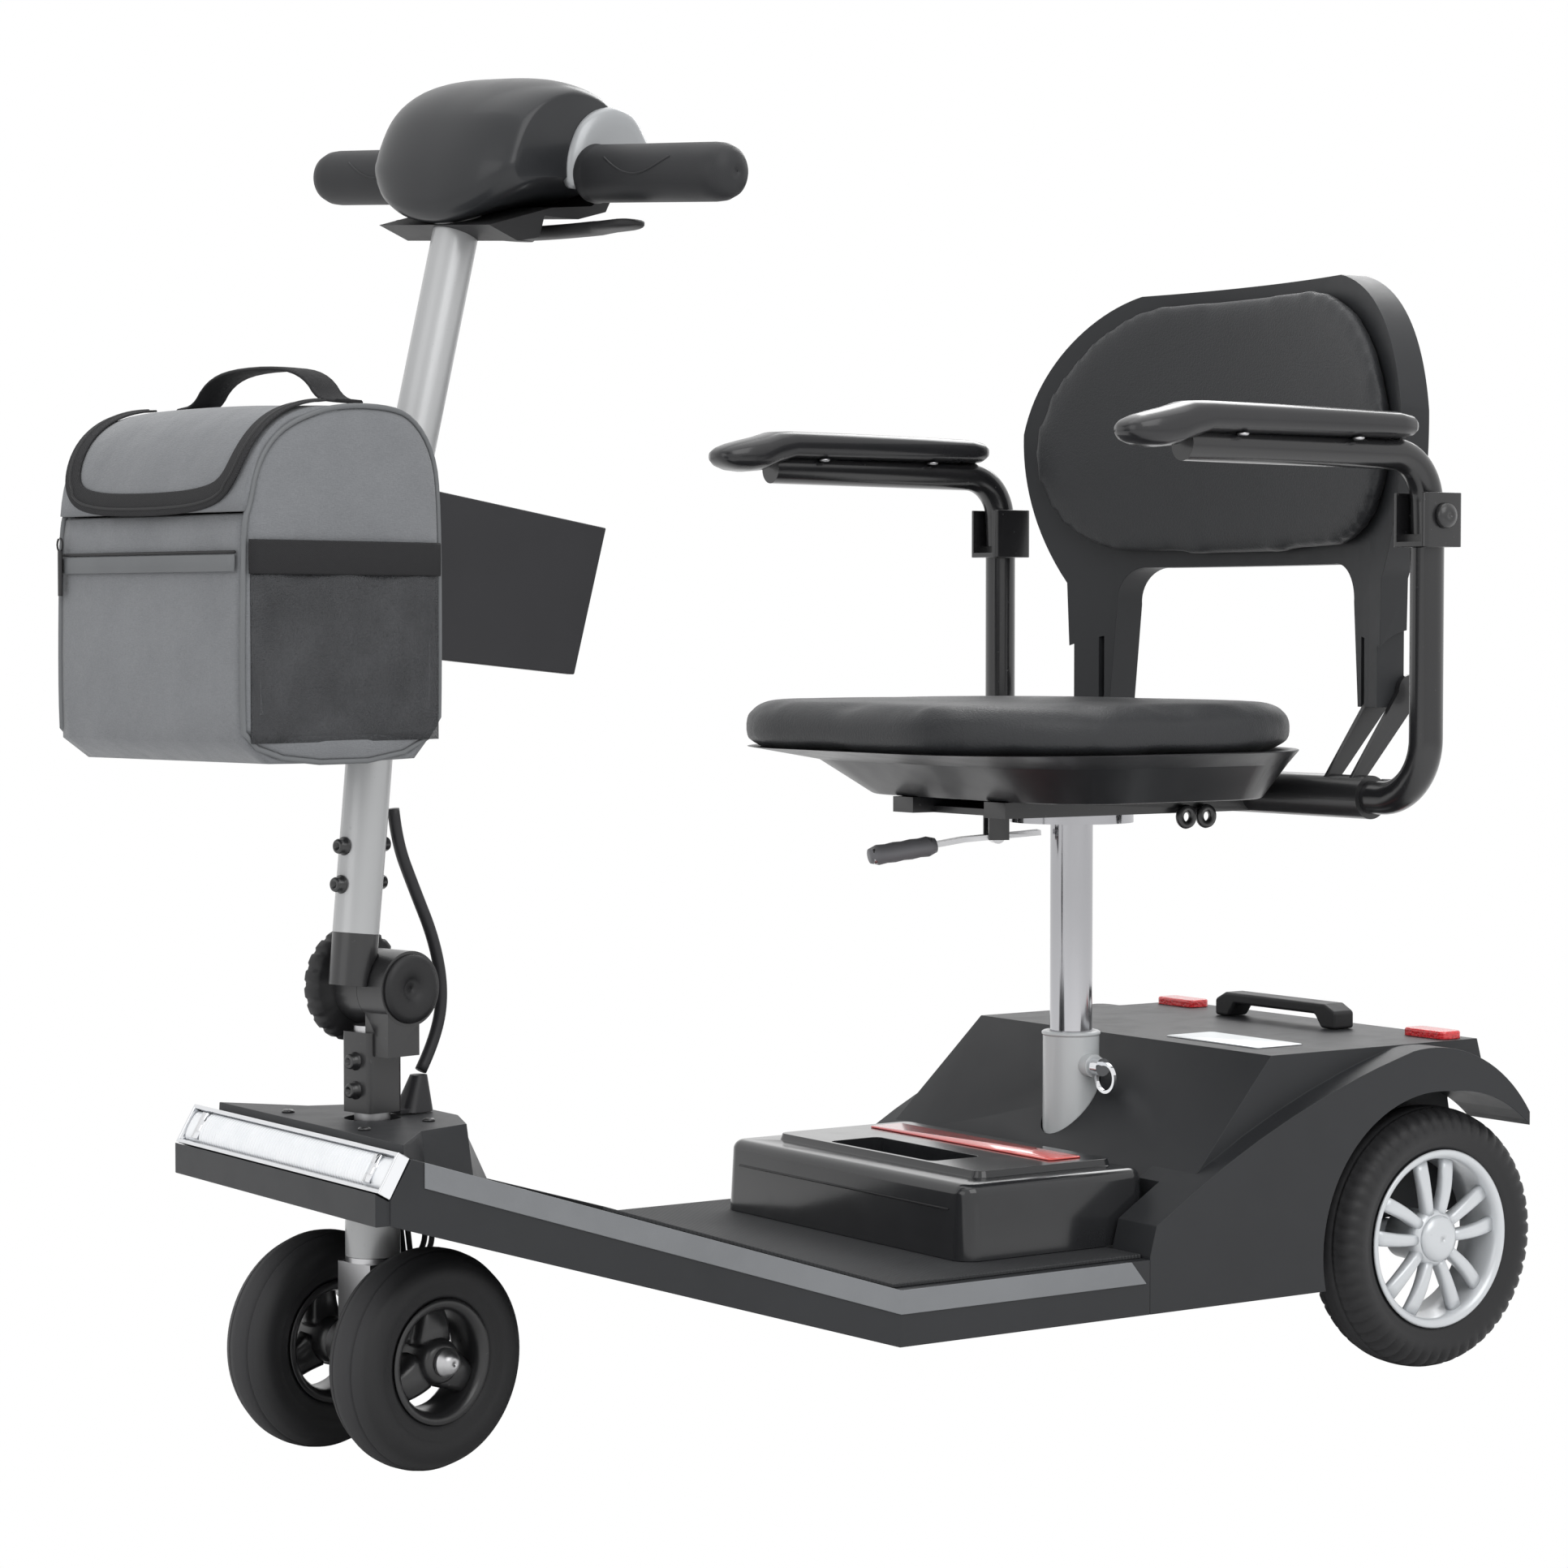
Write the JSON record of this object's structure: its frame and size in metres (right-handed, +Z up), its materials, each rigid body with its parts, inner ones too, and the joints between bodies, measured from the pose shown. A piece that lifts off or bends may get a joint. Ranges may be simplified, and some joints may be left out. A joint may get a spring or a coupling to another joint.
{
  "type": "mobility scooter",
  "caption": "Light travel mobility scooter with close-set front wheels, folding tiller, soft bag, swivel seat on a post and lift-off battery box.",
  "frame": {"origin": "on the ground, at the middle of the whole object's box", "axes": "+X forward, +Y to the rider's left, +Z up"},
  "size_m": [1.1277, 0.558, 0.9568],
  "materials": {
    "charcoal_plastic": "satin moulded ABS",
    "black_plastic": "fine-textured moulded plastic",
    "gloss_black": "glossy moulded plastic",
    "graphite_shell": "satin graphite paint",
    "black_steel": "black powder coat",
    "silver_paint": "silver paint",
    "white_paint": "pale grey gloss paint",
    "chrome": "polished chrome",
    "steel": "zinc-plated steel",
    "rubber": "ribbed black rubber",
    "grip_rubber": "soft grey-black rubber",
    "tyre": "solid tyre rubber",
    "rim_silver": "silver painted alloy",
    "rim_black": "black painted alloy",
    "stripe_grey": "grey moulded trim",
    "white_lens": "milky ribbed lens",
    "red_lens": "red reflector plastic",
    "vinyl": "grained dark grey vinyl",
    "bag_fabric": "heathered grey polyester",
    "bag_black": "black webbing and lining",
    "electronics": "shrink wrap and board"
  },
  "bodies": {
    "chassis": {"deck_tray": "charcoal_plastic", "floor_mat": "rubber", "edge_stripe": "stripe_grey", "headlight_frame": "chrome", "headlight_lens": "white_lens", "steering_cover": "charcoal_plastic", "head_tube": "silver_paint", "head_bearings": "steel", "chassis_frame": "black_steel", "rear_cover": "charcoal_plastic", "tail_lights": "red_lens", "carry_grip": "black_plastic", "seat_socket": "white_paint", "transaxle": "black_steel", "controller": "electronics", "deck_wires": "grip_rubber"},
    "battery": {"battery_case": "gloss_black", "battery_cells": "electronics"},
    "socket_pin": {"socket_pin": "chrome"},
    "seat_post": {"seat_post": "chrome"},
    "seat": {"seat_frame": "black_steel", "seat_pan": "gloss_black", "seat_cushion": "vinyl", "clamp_bolts": "black_steel"},
    "swivel_lever": {"swivel_lever": "steel"},
    "backrest": {"backrest_shell": "black_plastic", "backrest_pad": "vinyl"},
    "arm_slide_left": {"arm_slide_left": "black_steel"},
    "arm_slide_right": {"arm_slide_right": "black_steel"},
    "armrest_left": {"armrest_left": "black_steel", "arm_pad_left": "gloss_black"},
    "armrest_right": {"armrest_right": "black_steel", "arm_pad_right": "gloss_black"},
    "rear_wheel_left": {"rear_tyre_left": "tyre", "rear_rim_left": "rim_silver"},
    "rear_wheel_right": {"rear_tyre_right": "tyre", "rear_rim_right": "rim_silver"},
    "steering": {"steering_stem": "steel", "front_axle": "steel", "steering_post": "black_steel", "cable_boot": "grip_rubber"},
    "front_wheel_left": {"front_tyre_left": "tyre", "front_rim_left": "rim_black"},
    "front_wheel_right": {"front_tyre_right": "tyre", "front_rim_right": "rim_black"},
    "fold_knob": {"fold_knob": "black_plastic"},
    "tiller": {"tiller_socket": "black_steel", "tiller_tube": "silver_paint", "head_shell": "graphite_shell", "head_shroud": "black_plastic", "handlebar": "steel", "hand_grips": "grip_rubber", "tiller_cable": "grip_rubber", "bag_body": "bag_fabric", "bag_board": "bag_black"},
    "throttle_lever": {"throttle_lever": "gloss_black"},
    "key": {"key": "black_plastic"},
    "speed_dial": {"speed_dial": "black_plastic"},
    "horn_button": {"horn_button": "red_lens"},
    "bag_lid": {"bag_lid": "bag_fabric"}
  },
  "joints": [
    {"name": "battery_lift", "type": "slide", "parent": "chassis", "child": "battery", "axis": [0, 0, 1], "range_m": [0, 0.12]},
    {"name": "socket_pin_pull", "type": "slide", "parent": "chassis", "child": "socket_pin", "axis": [0, 1, 0], "range_m": [0, 0.008], "stiffness_N_per_m": 600, "springref_m": -0.002},
    {"name": "seat_height", "type": "slide", "parent": "chassis", "child": "seat_post", "axis": [0, 0, -1], "range_m": [-0.06, 0]},
    {"name": "seat_swivel", "type": "hinge", "parent": "seat_post", "child": "seat", "pos_m": [-0.2492, 0, 0.43], "axis": [0, 0, 1], "range_deg": [-90, 90]},
    {"name": "swivel_release", "type": "hinge", "parent": "seat", "child": "swivel_lever", "pos_m": [-0.19482, -0.02536, 0.4112], "axis": [-0.4226, -0.9063, 0], "range_deg": [0, 8], "stiffness_Nm_per_rad": 4, "springref_deg": -8.59},
    {"name": "backrest_fold", "type": "hinge", "parent": "seat", "child": "backrest", "pos_m": [-0.4292, 0, 0.524], "axis": [0, 1, 0], "range_deg": [0, 68]},
    {"name": "arm_width_left", "type": "slide", "parent": "seat", "child": "arm_slide_left", "axis": [0, 1, 0], "range_m": [0, 0.04]},
    {"name": "arm_width_right", "type": "slide", "parent": "seat", "child": "arm_slide_right", "axis": [0, -1, 0], "range_m": [0, 0.04]},
    {"name": "arm_flip_left", "type": "hinge", "parent": "arm_slide_left", "child": "armrest_left", "pos_m": [-0.3772, 0.258, 0.655], "axis": [0, 1, 0], "range_deg": [-95, 0]},
    {"name": "arm_flip_right", "type": "hinge", "parent": "arm_slide_right", "child": "armrest_right", "pos_m": [-0.3772, -0.258, 0.655], "axis": [0, 1, 0], "range_deg": [-95, 0]},
    {"name": "rear_wheel_left_spin", "type": "hinge", "parent": "chassis", "child": "rear_wheel_left", "pos_m": [-0.4622, 0.168, 0.1015], "axis": [0, 1, 0], "continuous": true},
    {"name": "rear_wheel_right_spin", "type": "hinge", "parent": "chassis", "child": "rear_wheel_right", "pos_m": [-0.4622, -0.168, 0.1015], "axis": [0, 1, 0], "continuous": true},
    {"name": "steering_turn", "type": "hinge", "parent": "chassis", "child": "steering", "pos_m": [0.3648, 0, 0.2], "axis": [0, 0, 1], "range_deg": [-52, 28]},
    {"name": "front_wheel_left_spin", "type": "hinge", "parent": "steering", "child": "front_wheel_left", "pos_m": [0.35336, 0.0538, 0.076], "axis": [-0.2079, 0.9781, 0], "continuous": true},
    {"name": "front_wheel_right_spin", "type": "hinge", "parent": "steering", "child": "front_wheel_right", "pos_m": [0.37623, -0.0538, 0.076], "axis": [-0.2079, 0.9781, 0], "continuous": true},
    {"name": "tiller_fold", "type": "hinge", "parent": "steering", "child": "tiller", "pos_m": [0.356, -0.00187, 0.326], "axis": [0.2079, -0.9781, 0], "range_deg": [0, 20], "deforming": ["tiller_cable"]},
    {"name": "fold_knob_turn", "type": "hinge", "parent": "steering", "child": "fold_knob", "pos_m": [0.36244, -0.03219, 0.326], "axis": [0.2079, -0.9781, 0], "range_deg": [0, 270]},
    {"name": "throttle_swing", "type": "hinge", "parent": "tiller", "child": "throttle_lever", "pos_m": [0.22853, -0.03225, 0.84711], "axis": [-0.0145, 0.0682, 0.9976], "range_deg": [-15, 15], "stiffness_Nm_per_rad": 1.5},
    {"name": "key_turn", "type": "hinge", "parent": "tiller", "child": "key", "pos_m": [0.17828, 0.00724, 0.91807], "axis": [0.7784, 0.1214, -0.6159], "range_deg": [0, 60]},
    {"name": "speed_dial_turn", "type": "hinge", "parent": "tiller", "child": "speed_dial", "pos_m": [0.18859, -0.03533, 0.92271], "axis": [-0.7784, -0.1214, 0.6159], "range_deg": [-135, 135]},
    {"name": "horn_press", "type": "slide", "parent": "tiller", "child": "horn_button", "axis": [0.7784, 0.1214, -0.6159], "range_m": [0, 0.002], "stiffness_N_per_m": 800, "springref_m": -0.001},
    {"name": "bag_lid_open", "type": "hinge", "parent": "tiller", "child": "bag_lid", "pos_m": [0.46777, 0.01575, 0.716], "axis": [0.2079, -0.9781, 0], "range_deg": [0, 85]}
  ]
}
